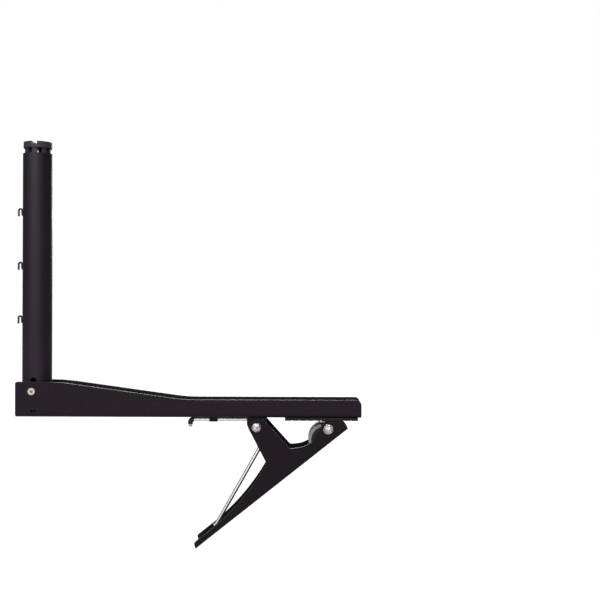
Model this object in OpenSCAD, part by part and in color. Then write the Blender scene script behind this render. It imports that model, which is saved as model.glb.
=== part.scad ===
// Table tennis net clamp: a net post on a channel arm, with a sprung jaw that grips the table edge.
// Millimetres. +X points over the table, +Y along the table edge, +Z up.
// The origin is on the underside of the upper pad, at its outer end, midway across.

/* [Arm] */
// Distance from the post axis to the outer end of the jaw pad
arm_reach = 138.9; // [110:0.1:170]
// Length of arm beyond the post axis, away from the table
arm_tail = 9.6; // [9:0.1:20]
// Length of arm beyond the outer end of the pad, over the table
arm_nose = 42.2; // [34:0.1:60]
// Outer width of the arm and of the lever
body_w = 19.5; // [18.6:0.1:24]
// Thickness of the steel sheet
sheet = 1.5; // [1:0.1:1.8]
// Outside radius of the bends in the sheet
bend_r = 2; // [1.8:0.1:3]
// Height of the flanges at the post
flange_post_h = 19.3; // [18.5:0.1:26]
// Height of the flanges along the rest of the arm
flange_h = 9.8; // [8:0.1:14]
// Distance from the post axis to the top of the slope in the flanges
slope_start = 13.9; // [12:0.1:20]
// Slope of the flanges' top edge, in degrees
slope_angle = 7.8; // [7:0.1:14]
// Radius of the two soft turns in the flanges' top edge
slope_blend_r = 100; // [40:1:110]

/* [Post] */
// Outside diameter of the post tube
post_d = 16.2; // [14:0.1:16.4]
// Wall of the post tube
post_wall = 1; // [0.8:0.1:1.4]
// Height of the tube's top above the table
post_h = 147.6; // [135:0.1:175]
// Height of the rivet that holds the post, above the arm's underside
rivet_h = 14.1; // [12.5:0.1:16]
// How far the rivet lies outwards of the post's axis
rivet_out = 0.5; // [0:0.1:0.8]
// Shank diameter of the post rivet
rivet_d = 2.9; // [2.5:0.1:4]
// Distance from the rivet up to the spare cross hole in the tube
cross_hole_up = 5.9; // [4.5:0.1:9]
// Diameter of the spare cross hole
cross_hole_d = 3.4; // [2:0.1:4]

/* [Net hooks] */
// Diameter of the hook wire
hook_d = 1.1; // [0.9:0.1:1.4]
// Height of the top hook above the table
hook_top = 117.5; // [105:0.1:125]
// Distance between hooks
hook_pitch = 30; // [22:0.1:32]
// Height of a hook
hook_h = 4.7; // [4.4:0.1:6]
// Clear gap between the two legs of a hook
hook_gap = 0.8; // [0.6:0.1:1.5]

/* [Post cap] */
// Diameter of the cap
cap_d = 15.6; // [13.8:0.1:16.2]
// Thickness of the cap
cap_h = 3.4; // [3:0.1:6]
// Width of the slot for the net cord
cord_slot_w = 2.8; // [2:0.1:4]
// Depth of the slot for the net cord
cord_slot_depth = 1.5; // [1:0.1:2.2]
// How far the cap stands above the tube
cap_lift = 3; // [0.5:0.1:5]
// Length of the fingers that hold the cap in the tube
finger_l = 12; // [10:0.1:18]
// Number of fingers
fingers = 8; // [6:2:10]
// Gap between fingers
finger_gap = 2.3; // [1.5:0.1:2.6]
// Wall of the fingers
finger_wall = 1.4; // [1:0.1:2]

/* [Upper pad] */
// Length of the pad
pad_l = 40.3; // [36:0.1:42]
// Thickness of the pad
pad_t = 1.6; // [1.4:0.1:3]
// Number of grooves across the pad's face
pad_grooves = 9; // [5:1:11]
// Width of a groove
groove_w = 0.6; // [0.5:0.1:1.2]
// Depth of a groove
groove_depth = 0.25; // [0.2:0.05:0.7]

/* [Hinge] */
// Distance from the outer end of the pad back to the hinge pin
hinge_back = 15.7; // [14.5:0.1:20]
// Distance from the arm's underside down to the hinge pin
hinge_drop = 5.4; // [5.4:0.1:7]
// Shank diameter of the hinge pin and of the jaw pin
pin_d = 4; // [3:0.1:4.2]
// Head diameter of the hinge pin
hinge_head_d = 5.2; // [4.8:0.1:6.5]
// Head diameter of the jaw pin
jaw_head_d = 5.6; // [5:0.1:6.5]
// Height of the pins' heads
pin_head_h = 1.2; // [0.8:0.1:1.6]
// Thickness of the hinge bracket's sheet
bracket_t = 1.3; // [1:0.1:1.5]
// Width of the bracket's ears where they leave the arm
ear_w = 10.6; // [9.6:0.1:12]

/* [Lever] */
// Distance along the arm from the hinge pin to the jaw pin
jaw_reach = 39.6; // [36:0.1:46]
// How far the jaw pin lies below the hinge pin
jaw_drop = 0.8; // [0:0.1:3]
// Angle of the lever's long edge to the arm, in degrees
lever_angle = 38.4; // [36:0.1:42]
// Distance from the jaw pin square down to the long edge
jaw_edge = 6.7; // [6.5:0.1:8]
// Distance along the long edge from square below the hinge pin to the end of the handle
handle_l = 67.8; // [56:0.1:85]
// Depth of the handle's channel
handle_depth = 3.3; // [3:0.1:4]
// Radius of the hollow between the handle and the ear
handle_sweep_r = 126; // [110:1:180]
// Length of the handle that has a constant depth
handle_straight = 11.8; // [8:0.1:14]

/* [Jaw shoe] */
// Radius of the shoe's tread
shoe_r = 8.9; // [8:0.1:9.2]
// Place of the tread's centre from the jaw pin: outwards and down
shoe_offset = [2, 6]; // [2:0.1:6]
// Thickness of the rubber tread
tread_t = 1.6; // [1.2:0.1:2.2]
// Height of the tread's ribs
rib_h = 0.35; // [0.2:0.05:0.5]
// Number of ribs round the tread
ribs = 15; // [8:1:20]

/* [Spring] */
// Diameter of the spring wire
wire_d = 2.2; // [1.6:0.1:2.3]
// Mean radius of the coil
coil_r = 4; // [3.8:0.1:4.2]
// Whole turns of the coil
coil_turns = 3; // [2:1:3]
// Length of the short leg that lies under the arm
short_leg = 36.7; // [30:0.1:45]
// Length of the short leg's turned-down end
leg_turn_down = 4; // [3.5:0.1:6]

/* [Hidden] */
$fn = 64;

running = 0.05;           // radial clearance of a pin or plug that turns or slides
slip = 0.3;               // clearance between parts that move past each other
arm_z = pad_t;            // the arm's underside
web_z = arm_z + sheet;    // the floor of the channel
inside = body_w / 2 - sheet;
post_x = -arm_reach;
rivet_x = post_x - rivet_out;
rivet_z = arm_z + rivet_h;
pip_z = web_z + 1.9;      // a pip in each flange keys the foot of the tube
pip_r = 1.7;
foot_z = web_z + 0.1;     // the foot of the tube
along = polar(1, lever_angle);               // along the lever's long edge
square_up = polar(1, lever_angle + 90);      // square to it
hinge = [-hinge_back, arm_z - hinge_drop];
jaw = hinge + [jaw_reach, -jaw_drop];
ear_r = hinge_drop - 1.35;                 // round the hinge pin, and clear of the arm
edge_drop = jaw_edge - (jaw - hinge) * square_up;    // from the hinge pin square down to the long edge
lobe_r = -0.5 - jaw[1];                    // round the jaw pin, 0.5 mm clear of the pad
ear_in = inside - slip - bracket_t;        // inner face of the bracket's ears
coil_y = ear_in - 0.3 - wire_d / 2;        // the two ends of the coil
nose_s = jaw_reach - 0.4;                  // end of the lever's long edge
leg_z = hinge[1] + coil_r;

// ---------- outlines ----------

function unit(v) = v / norm(v);
function ang(v) = atan2(v[1], v[0]);
function polar(r, a) = [r * cos(a), r * sin(a)];
function arc(c, r, a0, a1, n) = [for (i = [0:n]) c + polar(r, a0 + (a1 - a0) * i / n)];
function flat(list) = [for (part = list) each part];

// Each corner is [x, y, radius]; the corners with a radius become arcs, in finer steps the larger they are.
function corner(a, p, b, r) =
  let (
    u = unit([a[0] - p[0], a[1] - p[1]]),
    v = unit([b[0] - p[0], b[1] - p[1]]),
    half = acos(max(-1, min(1, u * v))) / 2,
    c = [p[0], p[1]] + unit(u + v) * r / sin(half),
    start = [p[0], p[1]] + u * r / tan(half) - c,
    end = [p[0], p[1]] + v * r / tan(half) - c,
    sweep = (ang(end) - ang(start) + 540) % 360 - 180,
    n = max(2, ceil(abs(sweep) / 12 * max(1, sqrt(r / 3))))
  )
  arc(c, r, ang(start), ang(start) + sweep, n);

function rounded(p) =
  let (n = len(p))
  flat([
    for (i = [0:n - 1])
      p[i][2] == 0
        ? [[p[i][0], p[i][1]]]
        : corner(p[(i + n - 1) % n], p[i], p[(i + 1) % n], p[i][2])
  ]);

// Draws an outline of the XZ plane, w thick across Y.
module across(w) {
  rotate([90, 0, 0]) linear_extrude(height = w, center = true) children();
}

// A channel of width w and height h with sheet t, lying along +X from the origin.
module channel(l, w, h, t, r) {
  rotate([90, 0, 90])
    linear_extrude(height = l)
      polygon(rounded([
        [-w / 2, h, 0], [-w / 2, 0, r], [w / 2, 0, r], [w / 2, h, 0],
        [w / 2 - t, h, 0], [w / 2 - t, t, 0], [t - w / 2, t, 0], [t - w / 2, h, 0]
      ]));
}

// A cylinder along Y, from y0 to y1.
module bar_y(r, y0, y1) {
  translate([0, y0, 0]) rotate([-90, 0, 0]) cylinder(r = r, h = y1 - y0);
}

// ---------- round wire along a path ----------

function cross_unit(a, b) = unit(cross(a, b));

// Rings of points round a path that never runs along Y.
function rings(path, r, sides) =
  let (last = len(path) - 1)
  [
    for (i = [0:last])
      let (
        t = unit(path[min(i + 1, last)] - path[max(i - 1, 0)]),
        b = cross_unit(t, [0, 1, 0]),
        m = cross_unit(b, t)
      )
      for (k = [0:sides - 1])
        path[i] + r * (cos(360 * k / sides) * m + sin(360 * k / sides) * b)
  ];

module wire(path, d, sides) {
  n = len(path);
  polyhedron(
    points = rings(path, d / 2, sides),
    faces = [
      for (k = [1:sides - 2]) [0, k, k + 1],
      for (i = [0:n - 2])
        for (k = [0:sides - 1])
          let (a = i * sides + k, b = i * sides + (k + 1) % sides)
          each [[a, a + sides, b], [b, a + sides, b + sides]],
      for (k = [1:sides - 2]) [(n - 1) * sides, (n - 1) * sides + k + 1, (n - 1) * sides + k]
    ]
  );
}

// ---------- arm ----------

slope_x0 = post_x + slope_start;
slope_x1 = slope_x0 + (flange_post_h - flange_h) / tan(slope_angle);
arm_end = [post_x - arm_tail, arm_nose];

function arm_outline() = rounded([
  [arm_end[0], arm_z, 0],
  [arm_end[1], arm_z, 0],
  [arm_end[1], arm_z + flange_h, 2.8],
  [slope_x1, arm_z + flange_h, slope_blend_r],
  [slope_x0, arm_z + flange_post_h, slope_blend_r],
  [arm_end[0], arm_z + flange_post_h, 1]
]);

pad_studs = [0.2 * pad_l, 0.8 * pad_l];
pad_stud_r = 1.7;
bracket_rivet_dx = ear_w / 2 + 3.6;
bracket_rivet_r = 1.5;

// A half-sheared pip: round below, and cut off straight above.
module pip(r) {
  intersection() {
    sphere(r = r, $fn = 32);
    translate([-r, -r, -r]) cube([2 * r, 2 * r, 1.6 * r]);
  }
}

module arm_channel() color("#2a272c") {
  difference() {
    union() {
      intersection() {
        across(body_w) polygon(arm_outline());
        translate([arm_end[0], 0, arm_z])
          channel(arm_end[1] - arm_end[0], body_w, flange_post_h, sheet, bend_r);
      }
      for (side = [-1, 1])
        translate([post_x, side * (inside + 0.6), pip_z]) pip(pip_r);
    }
    // hollows of the two pips
    for (side = [-1, 1])
      translate([post_x, side * (inside + sheet), pip_z]) pip(pip_r - 0.2);
    // post rivet
    translate([rivet_x, 0, rivet_z]) bar_y(rivet_d / 2 + running, -body_w, body_w);
    // slots for the bracket's ears
    for (side = [-1, 1])
      translate([
        hinge[0] - ear_w / 2 - slip,
        side > 0 ? ear_in - slip : -inside,
        arm_z - 1
      ])
        cube([ear_w + 2 * slip, inside - ear_in + slip, sheet + 2]);
    // holes for the bracket's rivets, countersunk below, and for the pad's studs
    for (dx = [-bracket_rivet_dx, bracket_rivet_dx])
      translate([hinge[0] + dx, 0, arm_z]) {
        cylinder(r = bracket_rivet_r + running, h = 3 * sheet, center = true);
        translate([0, 0, -0.01])
          cylinder(r1 = bracket_rivet_r + 1.01, r2 = bracket_rivet_r, h = 1.01);
      }
    for (x = pad_studs)
      translate([x, 0, arm_z]) cylinder(r = pad_stud_r + running, h = 3 * sheet, center = true);
  }
}

// ---------- post ----------

function hook_z(i) = hook_top - i * hook_pitch - hook_h + hook_d / 2;
hook_hole_r = hook_d / 2 + 0.1;

module post_tube() color("#2c2a30") {
  translate([post_x, 0, 0])
    difference() {
      translate([0, 0, foot_z]) cylinder(d = post_d, h = post_h - foot_z);
      translate([0, 0, foot_z - 1]) cylinder(d = post_d - 2 * post_wall, h = post_h);
      translate([-rivet_out, 0, rivet_z]) bar_y(rivet_d / 2 + running, -post_d, post_d);
      translate([0, 0, rivet_z + cross_hole_up]) bar_y(cross_hole_d / 2, -post_d, post_d);
      translate([0, 0, pip_z]) bar_y(pip_r + 0.2, -post_d, post_d);
      translate([-pip_r - 0.2, -post_d, foot_z - 1])
        cube([2 * pip_r + 0.4, 2 * post_d, pip_z - foot_z + 1]);
      for (i = [0:2])
        translate([0, 0, hook_z(i)])
          rotate([0, -90, 0]) cylinder(r = hook_hole_r, h = post_d);
    }
}

// A tubular rivet: its rolled end is in front, its domed head behind.
module post_rivet() color("#c9bdb4") {
  face = body_w / 2;
  translate([rivet_x, 0, rivet_z])
    difference() {
      union() {
        bar_y(rivet_d / 2, -face - 0.3, face + 0.3);
        bar_y(1.95, -face - 0.7, -face);
        bar_y(2.3, face, face + 0.7);
      }
      bar_y(0.75, -face - 2, 3 - face);
    }
}

finger_r = post_d / 2 - post_wall - running;
cap_z = post_h + cap_lift;

module post_cap() color("#3c403e") {
  translate([post_x, 0, cap_z]) {
    difference() {
      cylinder(d = cap_d, h = cap_h);
      translate([-cord_slot_w / 2, -cap_d, cap_h - cord_slot_depth])
        cube([cord_slot_w, 2 * cap_d, cap_h]);
    }
    difference() {
      translate([0, 0, -finger_l]) cylinder(r = finger_r, h = finger_l + 0.5);
      translate([0, 0, -finger_l - 1]) cylinder(r = finger_r - finger_wall, h = finger_l + 1);
      for (i = [0:fingers / 2 - 1])
        rotate(180 / fingers + i * 360 / fingers)
          translate([-post_d, -finger_gap / 2, -finger_l - 1])
            cube([2 * post_d, finger_gap, finger_l + 1]);
    }
  }
}

// A hook: a wire turned down inside the tube, out through its wall, up, over and down.
module net_hook(i) color("#4a494c") {
  r = hook_d / 2;
  z0 = hook_z(i);
  x_in = post_x - post_d / 2 + post_wall + 1.6;
  x_up = post_x - post_d / 2 - r - 0.05;
  over = (hook_d + hook_gap) / 2;
  z_over = hook_top - i * hook_pitch - r - over;
  flat_path = concat(
    [[x_in, z0 - 2.6]],
    arc([x_in - 0.8, z0 - 0.8], 0.8, 0, 90, 4),
    arc([x_up + 0.75, z0 + 0.75], 0.75, 270, 180, 4),
    arc([x_up - over, z_over], over, 0, 180, 10),
    [[x_up - 2 * over, z0 - r]]
  );
  wire([for (p = flat_path) [p[0], 0, p[1]]], hook_d, 10);
}

module net_hook_top() net_hook(0);
module net_hook_middle() net_hook(1);
module net_hook_bottom() net_hook(2);

// ---------- upper pad ----------

module upper_pad() color("#1f1e20") {
  pad_w = body_w - 0.4;
  pitch = pad_l / (pad_grooves + 1);
  difference() {
    union() {
      translate([0, -pad_w / 2, 0]) cube([pad_l, pad_w, pad_t]);
      for (x = pad_studs)
        translate([x, 0, pad_t / 2]) {
          cylinder(r = pad_stud_r, h = pad_t / 2 + sheet + 0.2);
          translate([0, 0, pad_t / 2 + sheet + 0.1]) cylinder(r1 = 2.7, r2 = 1.8, h = 1.4);
        }
    }
    for (i = [1:pad_grooves])
      translate([i * pitch - groove_w / 2, -body_w, -1]) cube([groove_w, 2 * body_w, 1 + groove_depth]);
  }
}

// ---------- hinge bracket ----------

base_l = 2 * (bracket_rivet_dx + 3.2);
base_z = web_z + bracket_t;
ear_shoulder = [ear_w / 2, 1.3];           // where an ear starts to narrow, from the hinge pin

function bracket_outline() =
  let (
    floor_h = web_z - hinge[1],
    side = ang(ear_shoulder) - acos((ear_r - 0.05) / norm(ear_shoulder))
  )
  concat(
    [[-base_l / 2, floor_h], [-ear_shoulder[0], floor_h], [-ear_shoulder[0], ear_shoulder[1]]],
    arc([0, 0], ear_r - 0.05, 180 - side, 360 + side, 20),
    [ear_shoulder, [ear_shoulder[0], floor_h], [base_l / 2, floor_h]],
    [[base_l / 2, base_z - hinge[1]], [-base_l / 2, base_z - hinge[1]]]
  );

module hinge_bracket() color("#2a272c") {
  difference() {
    intersection() {
      translate([hinge[0], 0, hinge[1]]) across(body_w) polygon(bracket_outline());
      translate([hinge[0] + base_l / 2, 0, base_z])
        rotate([0, 180, 0])
          channel(base_l, 2 * (inside - slip), 30, bracket_t, bracket_t);
    }
    translate([hinge[0], 0, hinge[1]]) bar_y(pin_d / 2 + running, -body_w, body_w);
    for (dx = [-bracket_rivet_dx, bracket_rivet_dx])
      translate([hinge[0] + dx, 0, web_z])
        cylinder(r = bracket_rivet_r + running, h = 4 * bracket_t, center = true);
  }
}

// A rivet that lies flush with the arm's underside.
module bracket_rivet(dx) color("#8c8a88") {
  translate([hinge[0] + dx, 0, 0]) {
    translate([0, 0, arm_z]) cylinder(r1 = bracket_rivet_r + 0.9, r2 = bracket_rivet_r - 0.1, h = 1);
    translate([0, 0, arm_z]) cylinder(r = bracket_rivet_r, h = base_z - arm_z + 0.5);
    translate([0, 0, base_z]) cylinder(r1 = 2.6, r2 = 2, h = 0.9);
  }
}

module bracket_rivet_outer() bracket_rivet(-bracket_rivet_dx);
module bracket_rivet_inner() bracket_rivet(bracket_rivet_dx);

// A tube round the hinge pin that keeps the bracket's ears apart, inside the coil.
module hinge_sleeve() color("#b9bcc0") {
  translate([hinge[0], 0, hinge[1]])
    difference() {
      bar_y(pin_d / 2 + 0.65, -ear_in + 0.1, ear_in - 0.1);
      bar_y(pin_d / 2 + running, -body_w, body_w);
    }
}

// ---------- lever ----------

function on_edge(s, t) = s * along + (t - edge_drop) * square_up;

knee_s = 48.2 + handle_straight - handle_l;
sweep_s = handle_straight - handle_l;
function sweep_t(s) =
  handle_depth + handle_sweep_r - sqrt(pow(handle_sweep_r, 2) - pow(s - sweep_s, 2));
jaw_rel = jaw - hinge;
notch = [18.6, -11.6];
hollow = [24.9, -10.85];
shoulder = [30.4, -8.3];
ear_corner = [3.95, 4.6 - 5.4 + hinge_drop];

function touch(p, r, side) = ang(p) + side * acos(r / norm(p));

function lever_outline() =
  let (
    knee = on_edge(knee_s, sweep_t(knee_s)),
    a_top = touch(ear_corner, ear_r, 1),
    a_side = touch(knee, ear_r, -1) + 360,
    sh = shoulder - jaw_rel,
    a_lobe = touch(sh, lobe_r, -1) + 360,
    top_v = jaw_rel[1] + lobe_r,
    nose_t = (top_v - nose_s * along[1]) / square_up[1] + edge_drop,
    nose_top = on_edge(nose_s, nose_t)
  )
  rounded(concat(
    [for (p = arc([0, 0], ear_r, a_top, a_side, 16)) [p[0], p[1], 0]],
    [[knee[0], knee[1], 1.2]],
    [
      for (i = [1:14])
        let (s = knee_s + (sweep_s - knee_s) * i / 14, p = on_edge(s, sweep_t(s)))
        [p[0], p[1], 0]
    ],
    [for (p = [[1.6 - handle_l, handle_depth, 0.9], [-handle_l, 0, 0]])
      let (q = on_edge(p[0], p[1])) [q[0], q[1], p[2]]],
    [for (q = [on_edge(nose_s, 0)]) [q[0], q[1], 0]],
    [[nose_top[0], nose_top[1], 1.6]],
    [for (p = arc(jaw_rel, lobe_r, 90, a_lobe, 8)) [p[0], p[1], 0]],
    [[shoulder[0], shoulder[1], 3], [hollow[0], hollow[1], 14], [notch[0], notch[1], 2.2]],
    [[ear_corner[0], ear_corner[1], 0.5]]
  ));

module lever() color("#28252a") {
  translate([hinge[0], 0, hinge[1]])
    difference() {
      intersection() {
        across(body_w) polygon(lever_outline());
        rotate([0, -lever_angle, 0])
          translate([-handle_l - 1, 0, -edge_drop])
            channel(handle_l + nose_s + 2, body_w, 50, sheet, bend_r);
      }
      bar_y(pin_d / 2 + 0.02, -body_w, body_w);
      translate([jaw_rel[0], 0, jaw_rel[1]]) bar_y(pin_d / 2 + 0.02, -body_w, body_w);
    }
}

// A pin along Y with a low domed head at each end.
module headed_pin(head_d) {
  head_r = head_d / 2;
  dome_r = (pow(head_r, 2) + pow(pin_head_h, 2)) / (2 * pin_head_h);
  bar_y(pin_d / 2, -body_w / 2 - 0.2, body_w / 2 + 0.2);
  for (side = [-1, 1])
    intersection() {
      translate([0, side * (body_w / 2 + pin_head_h - dome_r), 0]) sphere(r = dome_r);
      if (side > 0)
        bar_y(head_r, body_w / 2, body_w / 2 + 2 * pin_head_h);
      else
        bar_y(head_r, -body_w / 2 - 2 * pin_head_h, -body_w / 2);
    }
}

module hinge_pin() color("#c4c6c9") {
  translate([hinge[0], 0, hinge[1]]) headed_pin(hinge_head_d);
}

module jaw_pin() color("#c4c6c9") {
  translate([jaw[0], 0, jaw[1]]) headed_pin(jaw_head_d);
}

// ---------- jaw shoe ----------

shoe_w = 2 * (inside - slip);
tread_c = [-shoe_offset[0], -shoe_offset[1]];
tread_a = [103, 197];             // the stretch of the circle that has a tread
web_gap = jaw_edge - sheet;       // from the jaw pin to the lever's web
rock = web_gap - 0.7;             // how far the shoe's back reaches below the jaw pin
core_r = shoe_r - tread_t;
shoe_a = 40;                      // where the bare end of the circle stops

// The back has two faces that meet under the pin, and each lies along the web at its end of the swing.
function shoe_outline() = concat(
  arc(tread_c, shoe_r - rib_h, shoe_a, tread_a[0], 8),
  arc(tread_c, core_r, tread_a[0], tread_a[1], 16),
  [polar(rock, lever_angle - 90)]
);

module jaw_shoe() color("#232124") {
  translate([jaw[0], 0, jaw[1]])
    difference() {
      across(shoe_w) polygon(shoe_outline());
      bar_y(pin_d / 2 + running, -body_w, body_w);
    }
}

module shoe_tread() color("#8a8987") {
  span = tread_a[1] - tread_a[0];
  step = span / ribs;
  face = flat([
    for (i = [0:ribs - 1])
      let (a = tread_a[0] + i * step)
      [
        tread_c + polar(shoe_r - rib_h, a + 0.1 * step),
        tread_c + polar(shoe_r, a + 0.3 * step),
        tread_c + polar(shoe_r, a + 0.7 * step),
        tread_c + polar(shoe_r - rib_h, a + 0.9 * step)
      ]
  ]);
  translate([jaw[0], 0, jaw[1]])
    across(shoe_w)
      polygon(concat(face, arc(tread_c, core_r + 0.01, tread_a[1], tread_a[0], 16)));
}

// ---------- torsion spring ----------

// Clockwise angle from the top of the coil at which the long leg leaves it.
leg_angle = 103;
leg_neck = 13.5;                  // from the coil to the bend in the long leg
leg_land_s = 15.9;                  // where the long leg meets the web, from the handle's end
leg_tip_s = 14.4;                 // where the long leg ends
turn_r = 1.7;                     // radius of the turned-down end
leg_x = hinge[0] - short_leg;     // the turned-down end
web_seat = sheet + wire_d / 2 + 0.1;

coil_total = 360 * coil_turns + leg_angle;
coil_steps = round(coil_total / 45);

function coil_point(a) = [
  hinge[0] + coil_r * sin(a),
  coil_y * (2 * a / coil_total - 1),
  hinge[1] + coil_r * cos(a)
];

// The long leg: off the coil, down between the lever's sides, and along its web.
leg_off = [sin(leg_angle), cos(leg_angle)] * coil_r;
leg_bend = leg_off + leg_neck * [cos(leg_angle), -sin(leg_angle)];
leg_land = on_edge(leg_land_s - handle_l, web_seat);
leg_tip = on_edge(leg_tip_s - handle_l, web_seat);

function leg_point(p, y) = [hinge[0] + p[0], y, hinge[1] + p[1]];

spring_path = concat(
  [[leg_x, -coil_y, leg_z - leg_turn_down]],
  [for (p = arc([leg_x + turn_r, leg_z - turn_r], turn_r, 180, 90, 5)) [p[0], -coil_y, p[1]]],
  [[leg_x + short_leg / 2, -coil_y, leg_z]],
  [for (i = [0:coil_steps]) coil_point(coil_total * i / coil_steps)],
  [
    leg_point(leg_off + 6 * [cos(leg_angle), -sin(leg_angle)], coil_y - 0.3),
    leg_point(leg_bend, coil_y - 1),
    leg_point(leg_bend + 3.4 * unit(leg_land - leg_bend), coil_y - 1.3),
    leg_point((leg_bend + leg_land) / 2, coil_y / 2),
    leg_point(leg_land + 2 * unit(leg_bend - leg_land), 0.15),
    leg_point(leg_land, 0),
    leg_point((leg_land + leg_tip) / 2, 0),
    leg_point(leg_tip, 0)
  ]
);

// Least distance between turns that lie a turn apart, less the wire: the coil's gap to itself.
coil = [for (i = [0:coil_steps]) coil_point(coil_total * i / coil_steps)];
gap_to_itself = min([
  for (i = [0:len(coil) - 1])
    for (j = [0:len(coil) - 1])
      if (j > i + 4) norm(coil[j] - coil[i])
]) - wire_d;
echo(spring_gap_to_itself = gap_to_itself);

module torsion_spring() color("#cfd1d4") wire(spring_path, wire_d, 6);

// The turned-down end of the short leg, from below its bend to the end of the sleeve on it.
function leg_end_path(below, beyond) = concat(
  [[leg_x, -coil_y, leg_z - turn_r - below]],
  [for (p = arc([leg_x + turn_r, leg_z - turn_r], turn_r, 180, 90, 5)) [p[0], -coil_y, p[1]]],
  [[leg_x + turn_r + beyond, -coil_y, leg_z]]
);

// A plastic sleeve over the turned-down end of the short leg.
module spring_end_sleeve() color("#222024") {
  tail = leg_turn_down - turn_r - 1.4;
  difference() {
    wire(leg_end_path(tail, 0.4), wire_d + 0.6, 12);
    wire(leg_end_path(tail + 1, 1.4), wire_d + 0.15, 12);
  }
}

// A clip under the arm that keeps the short leg in line.
module spring_keeper() color("#2a272c") {
  keeper_w = 4.6;
  wall = 0.8;
  gap = 0.15;
  low = leg_z - wire_d / 2;
  translate([hinge[0] - 23.8, -coil_y, 0])
    difference() {
      translate([-keeper_w / 2, -wire_d / 2 - gap - wall, low])
        cube([keeper_w, wire_d + 2 * (gap + wall), arm_z - low]);
      translate([-keeper_w, -wire_d / 2 - gap, low - 1])
        cube([2 * keeper_w, wire_d + 2 * gap, wire_d + 1 + 0.1]);
    }
}

arm_channel();
post_tube();
post_rivet();
post_cap();
net_hook_top();
net_hook_middle();
net_hook_bottom();
upper_pad();
hinge_bracket();
bracket_rivet_outer();
bracket_rivet_inner();
hinge_sleeve();
lever();
hinge_pin();
jaw_pin();
jaw_shoe();
shoe_tread();
torsion_spring();
spring_end_sleeve();
spring_keeper();
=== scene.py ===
import math

import bpy
from mathutils import Matrix, Vector


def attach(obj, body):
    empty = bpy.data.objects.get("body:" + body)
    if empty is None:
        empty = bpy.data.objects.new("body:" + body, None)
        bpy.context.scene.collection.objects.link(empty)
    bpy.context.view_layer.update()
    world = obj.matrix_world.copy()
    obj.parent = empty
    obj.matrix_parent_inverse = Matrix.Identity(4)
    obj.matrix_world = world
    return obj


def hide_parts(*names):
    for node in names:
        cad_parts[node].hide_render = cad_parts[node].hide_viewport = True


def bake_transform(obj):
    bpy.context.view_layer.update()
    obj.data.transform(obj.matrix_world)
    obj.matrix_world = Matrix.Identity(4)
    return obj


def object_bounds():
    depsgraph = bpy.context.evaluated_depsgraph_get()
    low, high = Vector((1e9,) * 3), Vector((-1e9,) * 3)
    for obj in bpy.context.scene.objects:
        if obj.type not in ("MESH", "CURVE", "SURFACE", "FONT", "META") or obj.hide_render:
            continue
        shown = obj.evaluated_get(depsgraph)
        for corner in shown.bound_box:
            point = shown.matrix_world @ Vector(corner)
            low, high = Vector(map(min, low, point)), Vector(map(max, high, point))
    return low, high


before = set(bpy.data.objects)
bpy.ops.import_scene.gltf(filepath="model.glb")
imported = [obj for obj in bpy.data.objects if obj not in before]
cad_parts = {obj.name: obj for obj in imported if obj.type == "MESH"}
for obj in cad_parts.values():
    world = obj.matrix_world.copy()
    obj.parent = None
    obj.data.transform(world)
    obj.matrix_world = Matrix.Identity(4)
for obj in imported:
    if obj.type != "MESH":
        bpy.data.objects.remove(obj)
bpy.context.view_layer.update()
scene = bpy.context.scene
MM = 0.001


# ---------- Camera ----------
# The camera stands level in front of the clamp, a little over half a metre away.
# ROLL turns it a fifth of a degree about its own axis.

EYE = Vector((8.1, -548.75, 66.5)) * MM
ROLL = 0.0035
camera_data = bpy.data.cameras.new("camera")
camera_data.lens = 58.8
camera_data.sensor_width = 36
camera_data.clip_start = 0.01
camera = bpy.data.objects.new("camera", camera_data)
camera.matrix_world = (
    Matrix.Translation(EYE)
    @ Matrix.Rotation(math.radians(90), 4, "X")
    @ Matrix.Rotation(ROLL, 4, "Z")
)
scene.collection.objects.link(camera)
scene.camera = camera


# ---------- Floor, light and air ----------
# A sheet of white paper lies under the clamp. Its mirrored light is brightest close to the
# clamp, and from below it is clear, so that the underside can be looked at. The room is light
# on its open side, in front, and dimmer elsewhere. Broad soft lamps stand round it.

def linear(code):
    """The linear RGBA colour of an sRGB hex value."""
    parts = [int(code[i : i + 2], 16) / 255 for i in (1, 3, 5)]
    return tuple(
        p / 12.92 if p <= 0.04045 else ((p + 0.055) / 1.055) ** 2.4 for p in parts
    ) + (1.0,)


def add_node(tree, kind, values=(), links=(), **settings):
    """Adds a node with its settings, its socket values and the outputs linked to its sockets."""
    new = tree.nodes.new(kind)
    for key, value in settings.items():
        setattr(new, key, value)
    for socket, value in dict(values).items():
        new.inputs[socket].default_value = value
    for socket, output in dict(links).items():
        tree.links.new(output, new.inputs[socket])
    return new


# A colour Mix node's two colour inputs and its colour output.
MIX_A, MIX_B, MIXED = 6, 7, 2


def new_material(name):
    """An empty material, its node tree and its output's surface socket."""
    made = bpy.data.materials.new(name)
    made.use_nodes = True
    made.node_tree.nodes.clear()
    output = made.node_tree.nodes.new("ShaderNodeOutputMaterial")
    return made, made.node_tree, output.inputs["Surface"]


scene.view_settings.view_transform = "Standard"
WHITE = (1, 1, 1, 1)
SEEN_GLOW = 0.96  # how white the paper looks to the camera
FLOOR_GAP = 0.4 * MM

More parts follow.
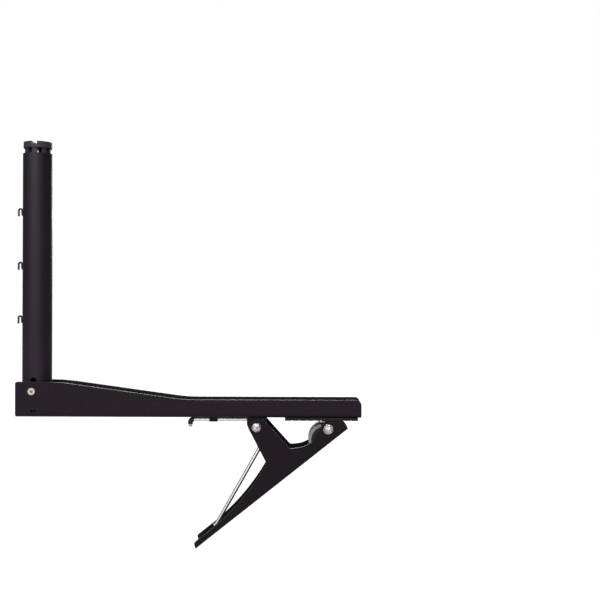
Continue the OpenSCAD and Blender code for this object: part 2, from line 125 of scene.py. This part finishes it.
white_paper, tree, surface = new_material("white_paper")
rays = add_node(tree, "ShaderNodeLightPath")
seen = add_node(
    tree, "ShaderNodeMath", {1: SEEN_GLOW}, {0: rays.outputs["Is Camera Ray"]},
    operation="MULTIPLY",
)
spot = add_node(tree, "ShaderNodeNewGeometry").outputs["Position"]
away = add_node(tree, "ShaderNodeVectorMath", links={0: spot}, operation="LENGTH")
near = add_node(
    tree, "ShaderNodeMapRange",
    {"From Min": 0.2, "From Max": 0.5, "To Min": 0.65, "To Max": 0.1},
    {"Value": away.outputs["Value"]}, interpolation_type="SMOOTHSTEP",
)
glow = add_node(
    tree, "ShaderNodeMath",
    links={0: rays.outputs["Is Glossy Ray"], 1: near.outputs[0], 2: seen.outputs[0]},
    operation="MULTIPLY_ADD",
)
lit = add_node(tree, "ShaderNodeBsdfDiffuse", {"Color": linear("#707070")})
bright = add_node(
    tree, "ShaderNodeEmission", {"Color": WHITE}, {"Strength": glow.outputs[0]}
)
both = add_node(tree, "ShaderNodeAddShader", links={0: lit.outputs[0], 1: bright.outputs[0]})
clear = add_node(tree, "ShaderNodeBsdfTransparent")
below = add_node(tree, "ShaderNodeNewGeometry").outputs["Backfacing"]
one_way = add_node(
    tree, "ShaderNodeMixShader", links={0: below, 1: both.outputs[0], 2: clear.outputs[0]}
)
tree.links.new(one_way.outputs[0], surface)

low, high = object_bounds()
bpy.ops.object.select_all(action="DESELECT")
bpy.ops.mesh.primitive_plane_add(size=4, location=(0, 0, low.z - FLOOR_GAP))
floor = bpy.context.object
floor.name = "paper_floor"
floor.data.materials.append(white_paper)

world = bpy.data.worlds.new("white_room")
scene.world = world
world.use_nodes = True
tree = world.node_tree
tree.nodes.clear()
rays = add_node(tree, "ShaderNodeLightPath")
direction = add_node(tree, "ShaderNodeTexCoord").outputs["Generated"]
OPEN_SIDE = (-0.14, -0.98, 0.15)
toward_front = add_node(
    tree, "ShaderNodeVectorMath", {1: OPEN_SIDE}, {0: direction}, operation="DOT_PRODUCT"
)
open_side = add_node(
    tree, "ShaderNodeMapRange",
    {"From Min": 0.5, "From Max": 0.95, "To Min": 0.13, "To Max": 1.15},
    {"Value": toward_front.outputs["Value"]},
)
room = add_node(
    tree, "ShaderNodeBackground", {"Color": WHITE}, {"Strength": open_side.outputs[0]}
)
shown = add_node(tree, "ShaderNodeBackground", {"Color": WHITE, "Strength": 1.0})
choose = add_node(
    tree, "ShaderNodeMixShader",
    links={0: rays.outputs["Is Camera Ray"], 1: room.outputs[0], 2: shown.outputs[0]},
)
add_node(tree, "ShaderNodeOutputWorld", links={"Surface": choose.outputs[0]})

# Each lamp's place from the clamp's middle and its size, in metres, and its power in watts.
middle = (low + high) / 2
for name, offset, size, power in (
    ("lamp_above", (-0.05, -0.05, 0.9), (1.8, 0.7), 14.0),
    ("lamp_left", (-0.95, -0.45, 0.35), (0.5, 0.9), 0.3),
    ("lamp_front", (-0.3, -0.85, 0.6), (0.8, 0.6), 3.6),
    ("lamp_back", (0.0, 0.9, 0.28), (0.6, 0.35), 3.2),
):
    lamp_data = bpy.data.lights.new(name, "AREA")
    lamp_data.shape = "RECTANGLE"
    lamp_data.size, lamp_data.size_y = size
    lamp_data.energy = power
    lamp = bpy.data.objects.new(name, lamp_data)
    lamp.visible_camera = False
    lamp.location = middle + Vector(offset)
    lamp.rotation_euler = (-Vector(offset)).to_track_quat("-Z", "Y").to_euler()
    scene.collection.objects.link(lamp)


# ---------- Arm, lever and hinge bracket ----------
# Mild steel sheet, 1.5 mm thick, blanked and folded into channels, then powder coated
# satin black. The coat has a fine orange peel, and its rounded edges carry a painted highlight:
# pale paint that stands in for the light the edges catch from above.

# Pattern scales are cells to the metre: patches of uneven colour 26 mm across, orange peel
# 0.7 mm across and specks of dust 0.2 mm across, which only a close view shows.
PATCHES, PEEL, DUST = 38, 1400, 5200
PEEL_DEPTH = 0.06 * MM


def powder_coat(name, dark, pale, roughness, grip, gloss=0.2):
    """Satin black powder coat: soft uneven sheen, a fine orange peel, pale dust and a painted
    highlight on the edges.
    """
    made, tree, surface = new_material(name)
    place = add_node(tree, "ShaderNodeTexCoord").outputs["Object"]
    patch, peel, dust = (
        add_node(
            tree, "ShaderNodeTexNoise", {"Scale": scale, "Detail": detail}, {"Vector": place}
        )
        for scale, detail in ((PATCHES, 4), (PEEL, 2), (DUST, 1))
    )
    coat = add_node(
        tree, "ShaderNodeMix", {MIX_A: linear(dark), MIX_B: linear(pale)}, {0: patch.outputs[0]},
        data_type="RGBA",
    )
    speck = add_node(
        tree, "ShaderNodeMapRange",
        {"From Min": 0.6, "From Max": 0.78, "To Min": 0.0, "To Max": 0.5},
        {"Value": dust.outputs[0]},
    )
    dusted = add_node(
        tree, "ShaderNodeMix", {MIX_B: linear("#4A464B")},
        {0: speck.outputs[0], MIX_A: coat.outputs[MIXED]}, data_type="RGBA",
    )
    # The rounded edges that softened() marks are painted pale grey: a painted highlight for the
    # light they catch from above.
    painted_edge_highlight = add_node(tree, "ShaderNodeAttribute", attribute_name="painted_edge_highlight")
    tone = add_node(
        tree, "ShaderNodeMix", {MIX_B: linear("#6E686F")},
        {0: painted_edge_highlight.outputs["Fac"], MIX_A: dusted.outputs[MIXED]}, data_type="RGBA",
    )
    shine = add_node(
        tree, "ShaderNodeMapRange",
        {"From Min": 0.3, "From Max": 0.7,
         "To Min": roughness - 0.08, "To Max": roughness + 0.08},
        {"Value": patch.outputs[0]},
    )
    height = add_node(
        tree, "ShaderNodeMath", {1: 0.35}, {0: dust.outputs[0], 2: peel.outputs[0]},
        operation="MULTIPLY_ADD",
    )
    relief = add_node(
        tree, "ShaderNodeBump", {"Strength": grip, "Distance": PEEL_DEPTH},
        {"Height": height.outputs[0]},
    )
    shader = add_node(
        tree, "ShaderNodeBsdfPrincipled", {"IOR": 1.5, "Specular IOR Level": gloss},
        {"Base Color": tone.outputs[MIXED], "Roughness": shine.outputs[0],
         "Normal": relief.outputs[0]},
    )
    tree.links.new(shader.outputs[0], surface)
    return made


def only(piece):
    """Selects one object and makes it the active one."""
    bpy.ops.object.select_all(action="DESELECT")
    piece.select_set(True)
    bpy.context.view_layer.objects.active = piece


def belongs(piece, body, slot, material, *nodes):
    """Gives a piece its material and its body, and hides the CAD nodes that it stands for. The
    slot is not used.
    """
    piece.data.materials.clear()
    piece.data.materials.append(material)
    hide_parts(*nodes)
    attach(piece, body)


MERGE = 0.002 * MM
FLAT = math.radians(0.5)
SHARP = math.radians(40)


def softened(name, node, width, segments=2):
    """A copy of a CAD node's mesh, its sharp corners rounded to that width and marked for a
    painted highlight.
    """
    piece = bpy.data.objects.new(name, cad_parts[node].data.copy())
    scene.collection.objects.link(piece)
    only(piece)
    bpy.ops.mesh.customdata_custom_splitnormals_clear()
    bpy.ops.object.mode_set(mode="EDIT")
    bpy.ops.mesh.select_all(action="SELECT")
    bpy.ops.mesh.remove_doubles(threshold=MERGE)
    bpy.ops.mesh.dissolve_limited(angle_limit=FLAT)
    bpy.ops.object.mode_set(mode="OBJECT")
    bevel = piece.modifiers.new("corners", "BEVEL")
    bevel.width = width
    bevel.segments = segments
    bevel.limit_method = "ANGLE"
    bevel.angle_limit = SHARP
    bevel.material = 1
    piece.data.materials.append(None)  # the second slot, which tells the rounded faces apart
    bpy.ops.object.modifier_apply(modifier="corners")
    bpy.ops.object.mode_set(mode="EDIT")
    bpy.ops.mesh.select_all(action="SELECT")
    bpy.ops.mesh.remove_doubles(threshold=MERGE)
    bpy.ops.object.mode_set(mode="OBJECT")
    faces = piece.data.polygons
    # The rounded faces are marked, so that the powder coat paints them pale as a painted
    # highlight.
    painted_edge_highlight = piece.data.attributes.new("painted_edge_highlight", "FLOAT", "FACE")
    painted_edge_highlight.data.foreach_set("value", [float(face.material_index) for face in faces])
    faces.foreach_set("material_index", [0] * len(faces))
    bpy.ops.object.shade_smooth_by_angle(angle=SHARP)
    weigh = piece.modifiers.new("weigh", "WEIGHTED_NORMAL")
    weigh.keep_sharp = True
    bpy.ops.object.modifier_apply(modifier="weigh")
    return piece


# The lever's coat is the darkest and dullest. The tube's is the smoothest and glossiest, so
# that a soft streak of light runs down it.
arm_coat = powder_coat("powder_coated_steel_arm", "#140C14", "#1C121C", 0.48, 0.75, 0.19)
lever_coat = powder_coat("powder_coated_steel_lever", "#100910", "#170D17", 0.48, 0.75, 0.14)
post_coat = powder_coat("powder_coated_steel_post", "#150E17", "#201722", 0.38, 0.55, 0.34)

arm = softened("arm_shell", "arm_channel", 0.25 * MM)
belongs(arm, "arm", "arm_coat", arm_coat, "arm_channel")
lever = softened("lever_shell", "lever", 0.4 * MM, 3)
belongs(lever, "lever", "lever_coat", lever_coat, "lever")
bracket = softened("bracket_shell", "hinge_bracket", 0.2 * MM)
belongs(bracket, "arm", "bracket_coat", lever_coat, "hinge_bracket")
keeper = softened("keeper_strap", "spring_keeper", 0.1 * MM)
belongs(keeper, "arm", "bracket_coat", lever_coat, "spring_keeper")
tube = softened("post_shell", "post_tube", 0.15 * MM)
belongs(tube, "arm", "post_coat", post_coat, "post_tube")


# ---------- Pins, rivets and hinge sleeve ----------
# Nickel-plated steel. The pins' heads were peened over a snap tool, which leaves shallow
# facets about a millimetre across, and the post's tubular rivet has a dull rolled end.

HANDLING = 900  # marks about a millimetre across
DENT_DEPTH = 0.4 * MM


def plated_steel(name, pale, dark, roughness, dent, dent_scale):
    """Plated steel, whose dents break its glints into small facets, with faint handling marks."""
    made, tree, surface = new_material(name)
    place = add_node(tree, "ShaderNodeTexCoord").outputs["Object"]
    dents = add_node(tree, "ShaderNodeTexVoronoi", {"Scale": dent_scale}, {"Vector": place})
    marks = add_node(
        tree, "ShaderNodeTexNoise", {"Scale": HANDLING, "Detail": 5}, {"Vector": place}
    )
    tone = add_node(
        tree, "ShaderNodeMix", {MIX_A: linear(dark), MIX_B: linear(pale)}, {0: marks.outputs[0]},
        data_type="RGBA",
    )
    shine = add_node(
        tree, "ShaderNodeMapRange",
        {"From Min": 0.3, "From Max": 0.7,
         "To Min": roughness - 0.06, "To Max": roughness + 0.1},
        {"Value": marks.outputs[0]},
    )
    relief = add_node(
        tree, "ShaderNodeBump", {"Strength": dent, "Distance": DENT_DEPTH},
        {"Height": dents.outputs[0]},
    )
    shader = add_node(
        tree, "ShaderNodeBsdfPrincipled", {"Metallic": 1.0},
        {"Base Color": tone.outputs[MIXED], "Roughness": shine.outputs[0],
         "Normal": relief.outputs[0]},
    )
    tree.links.new(shader.outputs[0], surface)
    return made


peened_nickel = plated_steel("peened_nickel_plate", "#E6E0E4", "#AEA8AD", 0.3, 1.0, 1100)
dull_nickel = plated_steel("rolled_nickel_copper_plate", "#F6EAE4", "#D2C5BE", 0.34, 0.06, 1500)
zinc_plate = plated_steel("bright_zinc_plate", "#C6CACF", "#9FA4AA", 0.34, 0.04, 1200)

for name in ("hinge_pin", "jaw_pin"):
    pin = softened(name + "_peened", name, 0.06 * MM)
    belongs(pin, "lever", "pin_steel", peened_nickel, name)

for node_name, material in (
    ("post_rivet", dull_nickel),
    ("bracket_rivet_outer", zinc_plate),
    ("bracket_rivet_inner", zinc_plate),
    ("hinge_sleeve", zinc_plate),
):
    node_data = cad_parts[node_name].data
    node_data.materials.clear()
    node_data.materials.append(material)


# ---------- Torsion spring ----------
# One length of bright drawn spring wire, 2.2 mm thick, wound on a mandrel. The short leg
# lies under the arm and the long leg presses on the lever, where it turns with it.

HINGE = Vector((-15.7, 0, -3.8)) * MM
WIRE_R = 1.1 * MM
COIL_R = 4.0 * MM
COIL_Y = 5.25 * MM
COIL_TURNS = 3 + 103 / 360
SHORT_LEG = 36.7 * MM
TURNED_DOWN = 4.0 * MM
TURN_R = 1.7 * MM
ROUND = math.radians(50)


def wire_piece(name, points, radius, sides=16):
    """A round wire through those points, as a closed mesh with capped ends."""
    line = bpy.data.curves.new(name, "CURVE")
    line.dimensions = "3D"
    line.bevel_depth = radius
    line.bevel_resolution = (sides - 4) // 4 + 1
    line.use_fill_caps = True
    line.twist_mode = "MINIMUM"
    strip = line.splines.new("POLY")
    strip.points.add(len(points) - 1)
    for spot, point in zip(strip.points, points):
        spot.co = (*point, 1)
    piece = bpy.data.objects.new(name, line)
    scene.collection.objects.link(piece)
    only(piece)
    bpy.ops.object.convert(target="MESH")
    piece = bpy.context.object
    bpy.ops.object.mode_set(mode="EDIT")
    bpy.ops.mesh.select_all(action="SELECT")
    bpy.ops.mesh.remove_doubles(threshold=MERGE)
    bpy.ops.mesh.normals_make_consistent(inside=False)
    bpy.ops.object.mode_set(mode="OBJECT")
    bpy.ops.object.shade_smooth_by_angle(angle=ROUND)
    return piece


def rounded_path(corners, radii, steps=8):
    """A path through corner points, each turned on an arc of its own radius."""
    path = [corners[0]]
    for before, here, after, radius in zip(corners, corners[1:], corners[2:], radii):
        u = (before - here).normalized()
        v = (after - here).normalized()
        half = u.angle(v) / 2
        reach = radius / math.tan(half)
        centre = here + (u + v).normalized() * radius / math.sin(half)
        a = here + u * reach - centre
        b = here + v * reach - centre
        for i in range(steps + 1):
            path.append(centre + a.normalized().slerp(b.normalized(), i / steps) * radius)
    path.append(corners[-1])
    return path


def coil_spot(turn):
    """The middle of the wire that many turns from the coil's front end."""
    angle = 2 * math.pi * turn
    return HINGE + Vector((
        COIL_R * math.sin(angle),
        COIL_Y * (2 * turn / COIL_TURNS - 1),
        COIL_R * math.cos(angle),
    ))


leg_x = HINGE.x - SHORT_LEG
leg_z = HINGE.z + COIL_R
front = -COIL_Y
short_leg = rounded_path(
    [
        Vector((leg_x, front, leg_z - TURNED_DOWN)),
        Vector((leg_x, front, leg_z)),
        Vector((HINGE.x, front, leg_z)),
    ],
    [TURN_R],
)[:-1]
STEPS = 40
coil = [coil_spot(i / STEPS) for i in range(int(COIL_TURNS * STEPS) + 1)]
coil.append(coil_spot(COIL_TURNS))

# Drawing leaves the wire smooth and bright, with faint marks 0.6 mm apart.
DRAW_MARKS = 1600
spring_wire, tree, surface = new_material("bright_drawn_spring_wire")
place = add_node(tree, "ShaderNodeTexCoord").outputs["Object"]
marks = add_node(
    tree, "ShaderNodeTexNoise", {"Scale": DRAW_MARKS, "Detail": 3}, {"Vector": place}
)
tone = add_node(
    tree, "ShaderNodeMix", {MIX_A: linear("#D2CED1"), MIX_B: linear("#F6F3F5")},
    {0: marks.outputs[0]}, data_type="RGBA",
)
relief = add_node(
    tree, "ShaderNodeBump", {"Strength": 0.1, "Distance": 0.02 * MM}, {"Height": marks.outputs[0]}
)
shader = add_node(
    tree, "ShaderNodeBsdfPrincipled", {"Metallic": 1.0, "Roughness": 0.27},
    {"Base Color": tone.outputs[MIXED], "Normal": relief.outputs[0]},
)
tree.links.new(shader.outputs[0], surface)

coil_piece = wire_piece("spring_coil", short_leg + coil, WIRE_R)
coil_piece.data.materials.append(spring_wire)
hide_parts("torsion_spring")
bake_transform(coil_piece)

# The long leg leaves the coil nearly straight down, bends, and lands on the lever's web.
LEVER_ANGLE = math.radians(38.4)
EDGE_DROP = 31.92 * MM
HANDLE_L = 67.8 * MM
SHEET = 1.5 * MM
WEB_GAP = 0.15 * MM
LEAVES_AT = math.radians(103)
STRAIGHT = 13.5 * MM
INWARD = Vector((0, -1.0 * MM, 0))
LANDING, TIP = 15.9 * MM, 14.4 * MM  # from the handle's end

# The directions along the lever's long edge and square to it.
along = Vector((math.cos(LEVER_ANGLE), 0, math.sin(LEVER_ANGLE)))
square = Vector((-math.sin(LEVER_ANGLE), 0, math.cos(LEVER_ANGLE)))


def on_edge(reach, rise):
    """A point that far along the lever's long edge and that far above it."""
    return HINGE + reach * along + (rise - EDGE_DROP) * square


web_seat = SHEET + WIRE_R + WEB_GAP
leg_off = coil_spot(COIL_TURNS)
heading = Vector((math.cos(LEAVES_AT), 0, -math.sin(LEAVES_AT)))
leg_bend = leg_off + STRAIGHT * heading + INWARD
leg_land = on_edge(LANDING - HANDLE_L, web_seat)
leg_tip = on_edge(TIP - HANDLE_L, web_seat)
long_leg = rounded_path(
    [leg_off, leg_bend, leg_land, leg_tip],
    [6 * MM, 4 * MM],
)
long_piece = wire_piece("spring_long_leg", long_leg, WIRE_R)
belongs(long_piece, "lever", "spring_steel", spring_wire, "torsion_spring")


# ---------- Net hooks ----------
# Blackened wire, 1.1 mm thick. Each is bent over outside the tube to take a loop of the
# net's side cord, and its tail is turned down inside the tube to hold it.

# All in millimetres.
TUBE_FACE = -138.9 - 8.1
HOOK_H = 4.7
HOOK_R = 0.55
HOOK_GAP = 0.05
OVER_R = 0.93
TAIL = 2.6
TAIL_R, STEM_R = 0.8, 0.75

# Blackening leaves the wire dark grey and slightly mottled.
hook_black = powder_coat("blackened_wire", "#2F2E30", "#454447", 0.42, 0.1)
for name, top in (("top", 117.5), ("middle", 87.5), ("bottom", 57.5)):
    foot = top - HOOK_H + HOOK_R
    stem = TUBE_FACE - HOOK_R - HOOK_GAP
    corners = [
        Vector((x, 0, z)) * MM
        for x, z in (
            (TUBE_FACE + TAIL, foot - TAIL),
            (TUBE_FACE + TAIL, foot),
            (stem, foot),
            (stem, top - HOOK_R),
            (stem - 2 * OVER_R, top - HOOK_R),
            (stem - 2 * OVER_R, foot - HOOK_R),
        )
    ]
    # The last bend is a hair tighter, so that two bends never share a point.
    bends = [r * MM for r in (TAIL_R, STEM_R, OVER_R, OVER_R * 0.999)]
    hook = wire_piece("net_hook_wire_" + name, rounded_path(corners, bends), HOOK_R * MM, 12)
    belongs(hook, "arm", "hook_wire", hook_black, "net_hook_" + name)


# ---------- Post cap ----------
# Injection-moulded ABS in dark grey, with eight spring fingers that grip the tube's
# bore and a slot across the top for the cord. The tool was finely spark eroded.

CLOUDS = 160  # patches of uneven colour 6 mm across


def moulded(name, dark, pale, roughness, grain_scale, grain_depth, gloss=0.3):
    """Moulded plastic or rubber: a matt eroded grain and slightly uneven colour."""
    made, tree, surface = new_material(name)
    place = add_node(tree, "ShaderNodeTexCoord").outputs["Object"]
    cloud = add_node(
        tree, "ShaderNodeTexNoise", {"Scale": CLOUDS, "Detail": 4}, {"Vector": place}
    )
    grain = add_node(
        tree, "ShaderNodeTexNoise", {"Scale": grain_scale, "Detail": 3}, {"Vector": place}
    )
    tone = add_node(
        tree, "ShaderNodeMix", {MIX_A: linear(dark), MIX_B: linear(pale)}, {0: cloud.outputs[0]},
        data_type="RGBA",
    )
    relief = add_node(
        tree, "ShaderNodeBump", {"Strength": 0.5, "Distance": grain_depth},
        {"Height": grain.outputs[0]},
    )
    shader = add_node(
        tree, "ShaderNodeBsdfPrincipled",
        {"Roughness": roughness, "IOR": 1.52, "Specular IOR Level": gloss},
        {"Base Color": tone.outputs[MIXED], "Normal": relief.outputs[0]},
    )
    tree.links.new(shader.outputs[0], surface)
    return made


cap_plastic = moulded("moulded_abs_cap", "#332D35", "#3F3942", 0.5, 2600, 0.03 * MM)
cap = softened("cap_moulding", "post_cap", 0.3 * MM, 3)
belongs(cap, "cap", "cap_plastic", cap_plastic, "post_cap")


# ---------- Upper pad, jaw shoe and tread ----------
# The pad is moulded nitrile rubber with drainage grooves and two studs. The shoe is black
# nylon, and its tread is grey rubber with ribs that bite on the table's underside.

# The rubbers are dull and chalky, the nylon has a soft shine, and the sleeve is smooth. Their
# grains are 0.3 to 0.7 mm across, which only a close view shows.
pad_rubber = moulded("nitrile_rubber_pad", "#0E0D0F", "#161417", 0.72, 3200, 0.04 * MM)
shoe_nylon = moulded("black_nylon_shoe", "#19171A", "#211F22", 0.5, 2600, 0.03 * MM)
tread_rubber = moulded("grey_rubber_tread", "#8A878A", "#A09DA0", 0.75, 3000, 0.05 * MM)
sleeve_pvc = moulded("black_pvc_sleeve", "#151416", "#1C1B1D", 0.35, 1500, 0.02 * MM)

pad = softened("pad_moulding", "upper_pad", 0.15 * MM)
belongs(pad, "arm", "pad_rubber", pad_rubber, "upper_pad")
shoe = softened("shoe_moulding", "jaw_shoe", 0.3 * MM)
belongs(shoe, "shoe", "shoe_plastic", shoe_nylon, "jaw_shoe")
tread = softened("tread_moulding", "shoe_tread", 0.12 * MM)
belongs(tread, "shoe", "tread_rubber", tread_rubber, "shoe_tread")
end_sleeve = softened("leg_end_sleeve", "spring_end_sleeve", 0.08 * MM)
belongs(end_sleeve, "arm", "end_sleeve_plastic", sleeve_pvc, "spring_end_sleeve")
